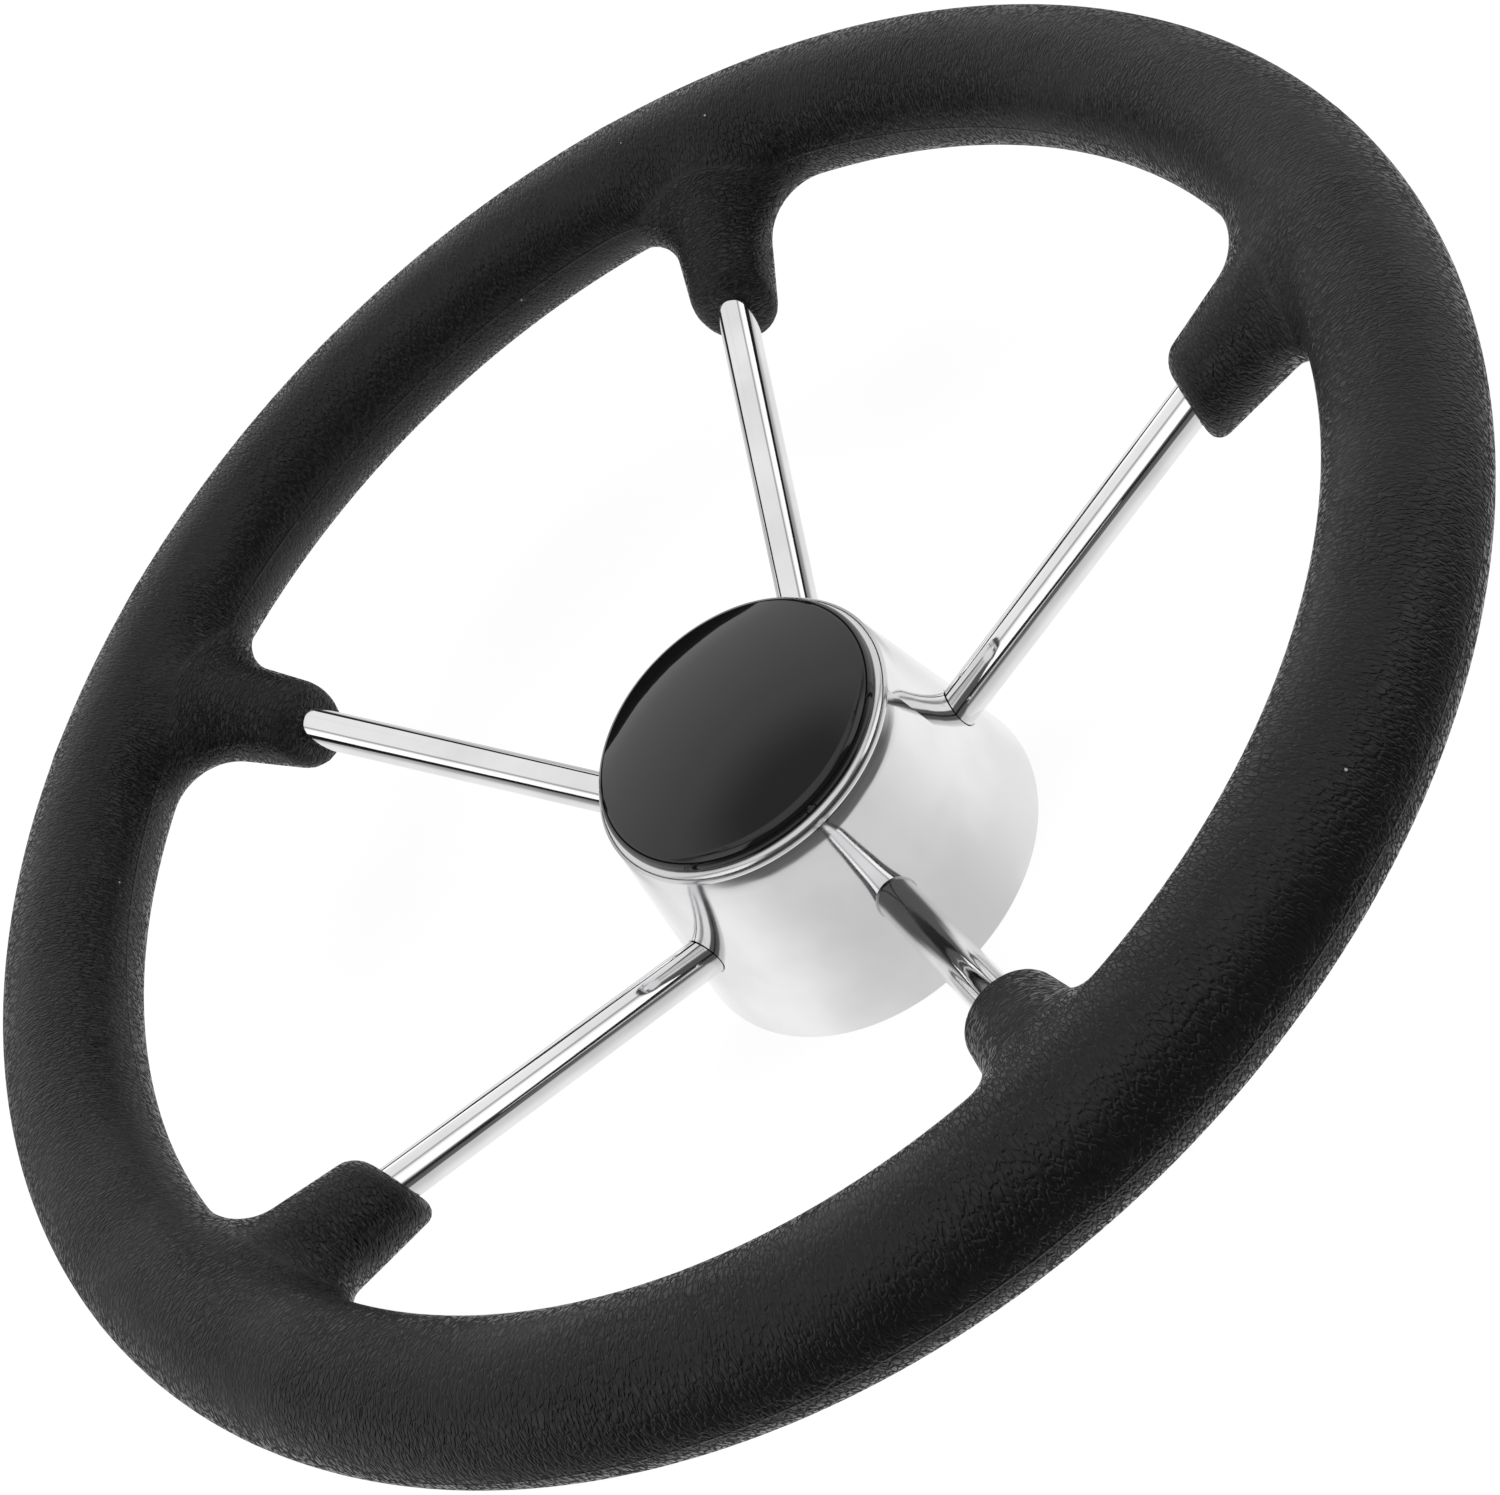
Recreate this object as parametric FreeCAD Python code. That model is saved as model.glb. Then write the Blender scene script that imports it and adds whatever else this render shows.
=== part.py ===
"""Five-spoke boat steering wheel: foam-gripped rim, dished rod spokes and a spun conical hub.

Units are millimetres. +Z runs along the shaft axis towards the driver, and the origin is the
centre of the hub's open back edge, which is the plane that the wheel stands on.
"""
import FreeCAD, Part

import math
import os

V = FreeCAD.Vector
ORIGIN = V(0, 0, 0)
UP = V(0, 0, 1)

# Rim: a steel ring with a round foam grip moulded over it
RIM_OUTER_D = 342.9
GRIP_D = 30.0
RIM_HEIGHT = 78.2
RING_ROD_D = 9.5
MOULD_GAP = 0.05

# Sleeves that the grip grows down each spoke
SLEEVE_REACH = 41.5
SLEEVE_END_D = 19.2
SLEEVE_ABOVE_RING = 1.2
SLEEVE_CROWN_SINK = 0.25
SLEEVE_END_ROUND = 3.5
SLEEVE_ROOT_ROUND = 14.8

# Spokes: straight polished rods from the boss up to the ring
SPOKE_COUNT = 5
FIRST_SPOKE_DEG = 90.0
SPOKE_D = 9.0
SPOKE_ROOT_HEIGHT = 15.3
SPOKE_ABOVE_RING = 4.0
SPOKE_HOLE_GAP = 0.3
WELD_LEG = 2.2

# Hub shell: a spun cone, rolled in at the front to a well that seats the cap
HUB_BASE_D = 87.0
HUB_DRAFT_DEG = 9.5
SHEET = 1.5
LIP_HEIGHT = 52.6
LIP_ROLL_R = 1.9
LIP_PROUD = 0.15
WELL_FLOOR_HEIGHT = 34.0
WELL_CORNER_R = 3.0
SPIGOT_GAP = 0.1

# Boss: turned steel, with the 1 in 12 shaft taper and its keyway
BOSS_D = 42.0
BOSS_RECESS = 1.0
SPIGOT_D = 32.0
SPIGOT_RISE = 2.0
BOSS_CHAMFER = 1.0
TAPER_LARGE_D = 19.05
TAPER_RATIO = 12.0
SHAFT_END_BORE_LENGTH = 8.0
SHAFT_END_BORE_RELIEF = 0.1
KEY_WIDTH = 4.76
KEY_DEPTH = 2.4

# Shaft nut: thin hexagon nut that the cap hides
NUT_ACROSS_FLATS = 23.8
NUT_HEIGHT = 9.5
NUT_BORE_D = 14.4
NUT_FACE_INSET = 0.4
NUT_CHAMFER_DEG = 30.0
NUT_LEAD_IN = 0.9

# Cap: black moulded dome with a slotted skirt that springs into the well
CAP_D = 66.7
CAP_HEIGHT = 7.8
CAP_SIDE = 0.6
CAP_EDGE_ROUND = 3.0
CAP_WALL = 2.0
SKIRT_LENGTH = 9.0
SKIRT_WALL = 1.8
SKIRT_GAP = 0.3
SKIRT_SLOTS = 8
SKIRT_SLOT_WIDTH = 3.0

# A point this close to a surface is taken to lie on it
ON_SURFACE = 0.05

# Sizes worked out from the ones above
GRIP_R = GRIP_D / 2
RIM_R = RIM_OUTER_D / 2 - GRIP_R
BOSS_R = BOSS_D / 2
BOSS_SHOULDER = WELL_FLOOR_HEIGHT - SHEET
BOSS_TOP = WELL_FLOOR_HEIGHT + SPIGOT_RISE
SPOKE_RISE = RIM_HEIGHT + SPOKE_ABOVE_RING - SPOKE_ROOT_HEIGHT
SPOKE_RUN = RIM_R - BOSS_R
SPOKE_SLOPE = math.atan2(SPOKE_RISE, SPOKE_RUN)
HUB_DRAFT = math.radians(HUB_DRAFT_DEG)
HUB_BASE_R = HUB_BASE_D / 2
LIP_CENTRE_Z = LIP_HEIGHT - LIP_ROLL_R
LIP_CENTRE_R = HUB_BASE_R - LIP_CENTRE_Z * math.tan(HUB_DRAFT) + LIP_PROUD - LIP_ROLL_R
WELL_R = LIP_CENTRE_R - LIP_ROLL_R


def line(a, b):
    """Straight edge between two points."""
    return Part.LineSegment(a, b).toShape()


def arc(a, through, b):
    """Circular edge from a to b by way of a third point."""
    return Part.Arc(a, through, b).toShape()


def dome_arc(apex_z, edge_r, edge_z):
    """Circular edge from the shaft axis down to a rim, level where it leaves the axis."""
    rise = apex_z - edge_z
    ball_r = (edge_r ** 2 + rise ** 2) / (2 * rise)
    half = math.asin(edge_r / ball_r) / 2
    through = V(ball_r * math.sin(half), 0, apex_z - ball_r * (1 - math.cos(half)))
    return arc(V(0, 0, apex_z), through, V(edge_r, 0, edge_z))


def spin(edges):
    """Solid made by turning a closed outline in the XZ plane once round the shaft axis."""
    face = Part.Face(Part.Wire(edges))
    return face.revolve(ORIGIN, UP, 360)


def outline(points):
    """Closed chain of straight edges through (radius, height) pairs."""
    corners = [V(r, 0, z) for r, z in points]
    return [line(a, b) for a, b in zip(corners, corners[1:] + corners[:1])]


def turned(shape, degrees):
    """Copy of a shape turned about the shaft axis."""
    copy = shape.copy()
    copy.rotate(ORIGIN, UP, degrees)
    return copy


def spoke_angles():
    """Directions of the spokes, evenly spaced from the first."""
    return [FIRST_SPOKE_DEG + i * 360 / SPOKE_COUNT for i in range(SPOKE_COUNT)]


def spoke_point(radius):
    """Point of the +X spoke's centre line at a distance from the shaft axis."""
    climb = (radius - BOSS_R) * math.tan(SPOKE_SLOPE)
    return V(radius, 0, SPOKE_ROOT_HEIGHT + climb)


def spoke_rod(inner_radius, outer_radius, rod_radius):
    """Round bar along the +X spoke's centre line."""
    start = spoke_point(inner_radius)
    run = spoke_point(outer_radius) - start
    return Part.makeCylinder(rod_radius, run.Length, start, run)


def ring_solid(section_radius):
    """Ring of round section on the rim's centre circle."""
    return Part.makeTorus(RIM_R, section_radius, V(0, 0, RIM_HEIGHT), UP)


def make_rim_ring():
    """Round bar bent to a ring and closed by a weld."""
    return ring_solid(RING_ROD_D / 2)


def make_spoke():
    """Polished rod with its ends coped to the boss and the ring, and a weld round its root."""
    rod = spoke_rod(BOSS_R - SPOKE_D, RIM_R, SPOKE_D / 2)
    root = spoke_point(BOSS_R)
    along = spoke_point(RIM_R) - root
    along.normalize()
    reach = SPOKE_D / 2 + WELD_LEG
    weld_start = root - along * SPOKE_D
    weld = Part.makeCone(reach + SPOKE_D, SPOKE_D / 2, SPOKE_D + WELD_LEG, weld_start, along)
    weld = weld.common(Part.makeCylinder(reach, 2 * SPOKE_D, weld_start, along))
    spoke = rod.fuse(weld).removeSplitter()
    boss = Part.makeCylinder(BOSS_R, LIP_HEIGHT)
    return spoke.cut(boss).cut(ring_solid(RING_ROD_D / 2))


def make_sleeve():
    """Foam sleeve on the +X spoke: swells towards the rim, cut off upright at its hub end."""
    end_radius = RIM_R - SLEEVE_REACH
    tip = spoke_point(end_radius)
    to_rim = V(RIM_R, 0, RIM_HEIGHT + SLEEVE_ABOVE_RING) - tip
    span = to_rim.Length
    lean = math.atan2(to_rim.z, to_rim.x)
    to_rim.normalize()
    tip_r = SLEEVE_END_D / 2
    root_r = GRIP_R - SLEEVE_ABOVE_RING * math.cos(lean) - SLEEVE_CROWN_SINK
    overlap = tip_r * math.tan(lean)
    start_r = tip_r - overlap * (root_r - tip_r) / span
    cone = Part.makeCone(start_r, root_r, span + overlap, tip - to_rim * overlap, to_rim)
    beyond = Part.makeBox(end_radius, GRIP_D * 3, RIM_HEIGHT * 2, V(0, -GRIP_D * 1.5, 0))
    sleeve = cone.cut(beyond)
    end_edges = [e for e in sleeve.Edges if abs(e.BoundBox.XMax - end_radius) < ON_SURFACE]
    return sleeve.makeFillet(SLEEVE_END_ROUND, end_edges)


def on_grip_surface(point):
    """True for a point on the round grip's own surface."""
    across = math.hypot(point.x, point.y) - RIM_R
    return abs(math.hypot(across, point.z - RIM_HEIGHT) - GRIP_R) < ON_SURFACE


def make_grip():
    """One foam moulding: the rim's round grip and a sleeve down each spoke."""
    sleeve = make_sleeve()
    grip = ring_solid(GRIP_R)
    for angle in spoke_angles():
        grip = grip.fuse(turned(sleeve, angle))
    roots = []
    for edge in grip.Edges:
        middle = edge.valueAt((edge.FirstParameter + edge.LastParameter) / 2)
        if isinstance(edge.Curve, Part.BSplineCurve) and on_grip_surface(middle):
            roots.append(edge)
    grip = grip.makeFillet(SLEEVE_ROOT_ROUND, roots)
    grip = grip.cut(ring_solid(RING_ROD_D / 2 + MOULD_GAP))
    bar = spoke_rod(RIM_R - SLEEVE_REACH - GRIP_R, RIM_R, SPOKE_D / 2 + MOULD_GAP)
    for angle in spoke_angles():
        grip = grip.cut(turned(bar, angle))
    return grip


def cone_lip_join(base_r, roll_r):
    """Point where a face of the straight cone runs into the same face of the rolled lip."""
    slope = math.tan(HUB_DRAFT)
    gap = base_r - LIP_CENTRE_R
    a = 1 + slope ** 2
    b = -2 * (LIP_CENTRE_Z + slope * gap)
    c = LIP_CENTRE_Z ** 2 + gap ** 2 - roll_r ** 2
    height = (-b - math.sqrt(b ** 2 - 4 * a * c)) / (2 * a)
    return V(base_r - slope * height, 0, height)


def make_hub_shell():
    """Spun sheet shell: cone, rolled lip, well wall and floor in one turned outline."""
    base_inner_r = HUB_BASE_R - SHEET / math.cos(HUB_DRAFT)
    roll_inner_r = LIP_ROLL_R - SHEET
    hidden_wall_r = WELL_R + SHEET
    floor_under = WELL_FLOOR_HEIGHT - SHEET
    hole_r = SPIGOT_D / 2 + SPIGOT_GAP
    inner = WELL_CORNER_R
    outer = WELL_CORNER_R + SHEET
    bend = V(WELL_R - inner, 0, WELL_FLOOR_HEIGHT + inner)
    diagonal = V(math.sqrt(0.5), 0, -math.sqrt(0.5))
    lip_join = cone_lip_join(HUB_BASE_R, LIP_ROLL_R)
    roll_join = cone_lip_join(base_inner_r, roll_inner_r)
    lip_top = V(LIP_CENTRE_R, 0, LIP_HEIGHT)
    lip_inside = V(WELL_R, 0, LIP_CENTRE_Z)
    base_outer = V(HUB_BASE_R, 0, 0)
    wall_bottom = V(WELL_R, 0, bend.z)
    floor_rim = V(bend.x, 0, WELL_FLOOR_HEIGHT)
    hole_top = V(hole_r, 0, WELL_FLOOR_HEIGHT)
    hole_under = V(hole_r, 0, floor_under)
    under_rim = V(bend.x, 0, floor_under)
    hidden_bottom = V(hidden_wall_r, 0, bend.z)
    roll_inside = V(hidden_wall_r, 0, LIP_CENTRE_Z)
    roll_top = V(LIP_CENTRE_R, 0, LIP_CENTRE_Z + roll_inner_r)
    base_inner = V(base_inner_r, 0, 0)
    shell = spin([
        line(base_outer, lip_join),
        arc(lip_join, lip_top, lip_inside),
        line(lip_inside, wall_bottom),
        arc(wall_bottom, bend + diagonal * inner, floor_rim),
        line(floor_rim, hole_top),
        line(hole_top, hole_under),
        line(hole_under, under_rim),
        arc(under_rim, bend + diagonal * outer, hidden_bottom),
        line(hidden_bottom, roll_inside),
        arc(roll_inside, roll_top, roll_join),
        line(roll_join, base_inner),
        line(base_inner, base_outer),
    ])
    drill = spoke_rod(BOSS_R + SPOKE_D, HUB_BASE_D, SPOKE_D / 2 + SPOKE_HOLE_GAP)
    for angle in spoke_angles():
        shell = shell.cut(turned(drill, angle))
    return shell


def make_hub_boss():
    """Turned boss with a shoulder for the shell, a tapered bore and a keyway."""
    taper_end = BOSS_TOP - SHAFT_END_BORE_LENGTH
    taper_length = taper_end - BOSS_RECESS
    small_r = (TAPER_LARGE_D - taper_length / TAPER_RATIO) / 2
    large_r = TAPER_LARGE_D / 2
    relief_r = small_r + SHAFT_END_BORE_RELIEF
    c = BOSS_CHAMFER
    body = spin(outline([
        (large_r + c / 2, BOSS_RECESS),
        (BOSS_R - c, BOSS_RECESS),
        (BOSS_R, BOSS_RECESS + c),
        (BOSS_R, BOSS_SHOULDER),
        (SPIGOT_D / 2, BOSS_SHOULDER),
        (SPIGOT_D / 2, BOSS_TOP - c / 2),
        (SPIGOT_D / 2 - c / 2, BOSS_TOP),
        (relief_r, BOSS_TOP),
        (relief_r, taper_end),
        (small_r, taper_end),
        (large_r, BOSS_RECESS + c / 2),
    ]))
    keyway_top = large_r + KEY_DEPTH
    slot = Part.makeBox(KEY_WIDTH, keyway_top, taper_length, V(-KEY_WIDTH / 2, 0, BOSS_RECESS))
    return body.cut(slot)


def make_shaft_nut():
    """Hexagon nut on the boss, with turned chamfers on both faces."""
    corner_r = NUT_ACROSS_FLATS / 2 / math.cos(math.pi / 6)
    corners = [
        V(corner_r * math.cos(math.radians(60 * i)), corner_r * math.sin(math.radians(60 * i)), BOSS_TOP)
        for i in range(6)
    ]
    hexagon = Part.Face(Part.makePolygon(corners + corners[:1]))
    prism = hexagon.extrude(V(0, 0, NUT_HEIGHT))
    face_r = NUT_ACROSS_FLATS / 2 - NUT_FACE_INSET
    drop = (corner_r - face_r) * math.tan(math.radians(NUT_CHAMFER_DEG))
    top = BOSS_TOP + NUT_HEIGHT
    bore_r = NUT_BORE_D / 2
    envelope = spin(outline([
        (bore_r + NUT_LEAD_IN, BOSS_TOP),
        (face_r, BOSS_TOP),
        (corner_r, BOSS_TOP + drop),
        (corner_r, top - drop),
        (face_r, top),
        (bore_r + NUT_LEAD_IN, top),
        (bore_r, top - NUT_LEAD_IN),
        (bore_r, BOSS_TOP + NUT_LEAD_IN),
    ]))
    return prism.common(envelope)


def make_centre_cap():
    """Domed cap with a rounded edge, a hollow underside and a slotted skirt."""
    rim_r = CAP_D / 2
    seat = LIP_HEIGHT
    crown_z = seat + CAP_HEIGHT
    round_r = rim_r - CAP_EDGE_ROUND
    round_z = seat + CAP_SIDE
    drop = crown_z - round_z
    ball_r = (round_r ** 2 + drop ** 2 - CAP_EDGE_ROUND ** 2) / (2 * (drop - CAP_EDGE_ROUND))
    tilt = math.asin(round_r / (ball_r - CAP_EDGE_ROUND))
    shoulder_r = ball_r * math.sin(tilt)
    shoulder_z = crown_z - ball_r * (1 - math.cos(tilt))
    middle = (tilt + math.pi / 2) / 2
    edge_r = round_r + CAP_EDGE_ROUND * math.sin(middle)
    edge_z = round_z + CAP_EDGE_ROUND * math.cos(middle)
    under_z = crown_z - CAP_WALL
    skirt_r = WELL_R - SKIRT_GAP
    skirt_inner = skirt_r - SKIRT_WALL
    foot_z = seat - SKIRT_LENGTH
    cap = spin([
        line(V(0, 0, under_z), V(0, 0, crown_z)),
        dome_arc(crown_z, shoulder_r, shoulder_z),
        arc(V(shoulder_r, 0, shoulder_z), V(edge_r, 0, edge_z), V(rim_r, 0, round_z)),
        line(V(rim_r, 0, round_z), V(rim_r, 0, seat)),
        line(V(rim_r, 0, seat), V(skirt_r, 0, seat)),
        line(V(skirt_r, 0, seat), V(skirt_r, 0, foot_z)),
        line(V(skirt_r, 0, foot_z), V(skirt_inner, 0, foot_z)),
        line(V(skirt_inner, 0, foot_z), V(skirt_inner, 0, seat)),
        dome_arc(under_z, skirt_inner, seat),
    ])
    slot_corner = V(skirt_inner - SKIRT_WALL, -SKIRT_SLOT_WIDTH / 2, foot_z - SKIRT_WALL)
    slot = Part.makeBox(SKIRT_WALL * 3, SKIRT_SLOT_WIDTH, SKIRT_LENGTH, slot_corner)
    for i in range(SKIRT_SLOTS):
        cap = cap.cut(turned(slot, i * 360 / SKIRT_SLOTS))
    return cap


def save(name, shape):
    """Write one piece to its own STEP file."""
    shape.exportStep(os.path.join("parts", name + ".step"))
    solids = len(shape.Solids)
    print(f"{name}: {solids} solid, {shape.Volume / 1000:.2f} cm3, valid {shape.isValid()}")


def main():
    """Build every piece and write it out."""
    os.makedirs("parts", exist_ok=True)
    save("foam_grip", make_grip())
    save("rim_ring", make_rim_ring())
    spoke = make_spoke()
    for number, angle in enumerate(spoke_angles(), start=1):
        save(f"spoke_{number}", turned(spoke, angle))
    save("hub_shell", make_hub_shell())
    save("hub_boss", make_hub_boss())
    save("shaft_nut", make_shaft_nut())
    save("centre_cap", make_centre_cap())


main()
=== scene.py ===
"""Looks of a five-spoke boat steering wheel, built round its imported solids.

Lengths are metres. +Z is the shaft axis towards the driver, z = 0 is the hub's open back edge,
and +Y runs along spoke_1. The steel and the cap keep their solids and get finishes here; the
foam grip is made again as a finer mesh with its own skin.
"""
import sys
import logging
import math
from dataclasses import dataclass, field
from enum import Enum

import bmesh
import bpy
import numpy as np
from mathutils import Matrix, Vector


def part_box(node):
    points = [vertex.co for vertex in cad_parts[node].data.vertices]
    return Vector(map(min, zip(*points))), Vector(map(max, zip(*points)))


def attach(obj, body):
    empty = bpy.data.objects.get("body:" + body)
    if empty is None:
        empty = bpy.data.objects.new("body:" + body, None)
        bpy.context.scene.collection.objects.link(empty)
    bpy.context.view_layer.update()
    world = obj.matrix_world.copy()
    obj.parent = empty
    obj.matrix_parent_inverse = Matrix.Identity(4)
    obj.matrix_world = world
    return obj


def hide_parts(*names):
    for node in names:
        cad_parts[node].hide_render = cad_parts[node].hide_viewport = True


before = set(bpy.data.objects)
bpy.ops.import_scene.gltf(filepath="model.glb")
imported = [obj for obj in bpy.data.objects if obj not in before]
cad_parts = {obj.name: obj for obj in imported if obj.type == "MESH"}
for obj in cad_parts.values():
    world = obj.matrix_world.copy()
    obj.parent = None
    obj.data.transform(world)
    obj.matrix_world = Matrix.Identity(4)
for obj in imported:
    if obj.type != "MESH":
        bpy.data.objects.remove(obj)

LOG = logging.getLogger("wheel")
BODY = "root"
SPOKE_COUNT = 5
FIRST_SPOKE = math.radians(90)
UP = Vector((0, 0, 1))
LINE_STRETCH = 0.015
Colour = tuple[float, float, float]
Wired = float | tuple | bpy.types.NodeSocket


def middle(node: str) -> Vector:
    """Centre of a solid's box.

    Args:
        node: Name of the solid.

    Returns:
        The centre point.
    """
    low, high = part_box(node)
    return (low + high) / 2


@dataclass(frozen=True)
class WheelSizes:
    """Sizes that several sub-assemblies share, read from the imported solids."""

    rim_height: float
    grip_radius: float
    rim_radius: float
    rod_radius: float = 0.0045
    spoke_above_ring: float = 0.004
    spoke_root_height: float = 0.0153
    boss_radius: float = 0.021

    @classmethod
    def measured(cls) -> "WheelSizes":
        """Read the rim's sizes from the boxes of its solids.

        Returns:
            The sizes.
        """
        rim_height = middle("rim_ring").z
        _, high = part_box("foam_grip")
        grip_radius = high.z - rim_height
        return cls(rim_height, grip_radius, high.x - grip_radius)

    @property
    def spoke_slope(self) -> float:
        """Tangent of the spokes' climb from hub to rim."""
        rise = self.rim_height + self.spoke_above_ring - self.spoke_root_height
        return rise / (self.rim_radius - self.boss_radius)

    def spoke_height(self, radius: float) -> float:
        """Height of a spoke's centre line at a distance from the shaft axis."""
        return self.spoke_root_height + (radius - self.boss_radius) * self.spoke_slope


class Board:
    """A node tree being laid out, with short calls for its nodes and wires."""

    def __init__(self, tree: bpy.types.NodeTree) -> None:
        """Start on a tree.

        Args:
            tree: The tree to add nodes to.
        """
        self.tree = tree

    def node(self, kind: str, **settings: object) -> bpy.types.Node:
        """Add a node.

        Args:
            kind: The node type's name, without its ShaderNode prefix.
            **settings: Properties of the node.

        Returns:
            The node.
        """
        made = self.tree.nodes.new("ShaderNode" + kind)
        for name, value in settings.items():
            setattr(made, name, value)
        return made

    def feed(self, socket: bpy.types.NodeSocket, value: Wired) -> None:
        """Wire a socket, or set it to a plain value.

        Args:
            socket: The input to feed.
            value: Another node's output, a number or a tuple.
        """
        if isinstance(value, bpy.types.NodeSocket):
            self.tree.links.new(value, socket)
        else:
            socket.default_value = value

    def math(self, operation: str, *values: Wired) -> bpy.types.NodeSocket:
        """Add a Math node.

        Args:
            operation: The operation's name.
            *values: Its inputs in order.

        Returns:
            The result's socket.
        """
        made = self.node("Math", operation=operation)
        for socket, value in zip(made.inputs, values):
            self.feed(socket, value)
        return made.outputs[0]

    def vector_math(self, operation: str, *values: Wired) -> bpy.types.NodeSocket:
        """Add a Vector Math node.

        Args:
            operation: The operation's name.
            *values: Its inputs in order.

        Returns:
            The result's socket: the value for a dot product or length, else the vector.
        """
        made = self.node("VectorMath", operation=operation)
        for socket, value in zip(made.inputs, values):
            self.feed(socket, value)
        return made.outputs["Value" if operation in ("DOT_PRODUCT", "LENGTH") else "Vector"]

    def xyz(self, x: Wired, y: Wired, z: Wired) -> bpy.types.NodeSocket:
        """Join three values to a vector.

        Args:
            x: First value.
            y: Second value.
            z: Third value.

        Returns:
            The vector's socket.
        """
        made = self.node("CombineXYZ")
        for socket, value in zip(made.inputs, (x, y, z)):
            self.feed(socket, value)
        return made.outputs[0]

    def split(self, vector: Wired) -> tuple[bpy.types.NodeSocket, ...]:
        """Split a vector.

        Args:
            vector: The vector's socket.

        Returns:
            Its three values' sockets.
        """
        made = self.node("SeparateXYZ")
        self.feed(made.inputs[0], vector)
        return tuple(made.outputs)

    def fade(
        self, value: Wired, low: float, high: float, to_low: float = 0.0, to_high: float = 1.0,
        shape: str = "SMOOTHSTEP",
    ) -> bpy.types.NodeSocket:
        """Map a value from one range to another, held at both ends.

        Args:
            value: The value's socket.
            low: Where the change starts.
            high: Where the change ends.
            to_low: Result at and before low.
            to_high: Result at and past high.
            shape: How it changes between them.

        Returns:
            The result's socket.
        """
        made = self.node("MapRange", interpolation_type=shape)
        for socket, number in zip(made.inputs, (value, low, high, to_low, to_high)):
            self.feed(socket, number)
        return made.outputs[0]

    def blend(self, share: Wired, first: Wired, second: Wired) -> bpy.types.NodeSocket:
        """Mix two values.

        Args:
            share: How much of the second.
            first: Value at share 0.
            second: Value at share 1.

        Returns:
            The result's socket.
        """
        made = self.node("Mix", data_type="FLOAT")
        self.feed(made.inputs[0], share)
        self.feed(made.inputs[2], first)
        self.feed(made.inputs[3], second)
        return made.outputs[0]

    def tint(self, share: Wired, first: Wired, second: Wired) -> bpy.types.NodeSocket:
        """Mix two colours.

        Args:
            share: How much of the second.
            first: Colour at share 0.
            second: Colour at share 1.

        Returns:
            The result's socket.
        """
        made = self.node("Mix", data_type="RGBA")
        self.feed(made.inputs[0], share)
        self.feed(made.inputs[6], first if isinstance(first, bpy.types.NodeSocket) else (*first, 1))
        self.feed(made.inputs[7], second if isinstance(second, bpy.types.NodeSocket) else (*second, 1))
        return made.outputs[2]

    def pick(self, mask: Wired, first: Wired, second: Wired) -> bpy.types.NodeSocket:
        """Choose between two vectors.

        Args:
            mask: 0 for the first, 1 for the second.
            first: The first vector.
            second: The second vector.

        Returns:
            The result's socket.
        """
        made = self.node("Mix", data_type="VECTOR")
        self.feed(made.inputs[0], mask)
        self.feed(made.inputs[4], first)
        self.feed(made.inputs[5], second)
        return made.outputs[1]

    def noise(self, vector: Wired, scale: Wired, detail: float = 2.0) -> bpy.types.NodeSocket:
        """Add a Noise Texture.

        Args:
            vector: Where it is read.
            scale: Lumps for each unit of the vector.
            detail: Finer layers on top.

        Returns:
            The value's socket.
        """
        made = self.node("TexNoise")
        self.feed(made.inputs["Vector"], vector)
        self.feed(made.inputs["Scale"], scale)
        made.inputs["Detail"].default_value = detail
        return made.outputs[0]

    def cells(self, vector: Wired, scale: Wired, feature: str = "F1") -> bpy.types.Node:
        """Add a Voronoi Texture.

        Args:
            vector: Where it is read.
            scale: Cells for each unit of the vector.
            feature: Which measure of the cells.

        Returns:
            The node.
        """
        made = self.node("TexVoronoi", feature=feature)
        self.feed(made.inputs["Vector"], vector)
        self.feed(made.inputs["Scale"], scale)
        return made

    def distance(self, x: Wired, y: Wired) -> bpy.types.NodeSocket:
        """Length of a flat vector.

        Args:
            x: Its first value.
            y: Its second value.

        Returns:
            The length's socket.
        """
        return self.math("SQRT", self.math("ADD", self.math("MULTIPLY", x, x), self.math("MULTIPLY", y, y)))

    def turn_from(self, x: Wired, y: Wired, start: Wired) -> bpy.types.NodeSocket:
        """How far a flat vector is turned from a bearing, to either side.

        Args:
            x: Its first value.
            y: Its second value.
            start: The bearing, in radians.

        Returns:
            The turn's socket, in degrees from 0 to 180.
        """
        turn = self.math("SUBTRACT", self.math("ARCTAN2", y, x), start)
        turn = self.math("WRAP", turn, math.pi, -math.pi)
        return self.math("DEGREES", self.math("ABSOLUTE", turn))

    def bump(self, height: Wired, distance: float, normal: Wired | None = None) -> bpy.types.NodeSocket:
        """Add a Bump node.

        Args:
            height: The relief, from 0 to 1.
            distance: What a relief of 1 stands for, in metres.
            normal: Another relief's normal to build on.

        Returns:
            The normal's socket.
        """
        made = self.node("Bump")
        made.inputs["Distance"].default_value = distance
        made.inputs["Strength"].default_value = 1.0
        self.feed(made.inputs["Height"], height)
        if normal is not None:
            self.feed(made.inputs["Normal"], normal)
        return made.outputs[0]


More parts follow.
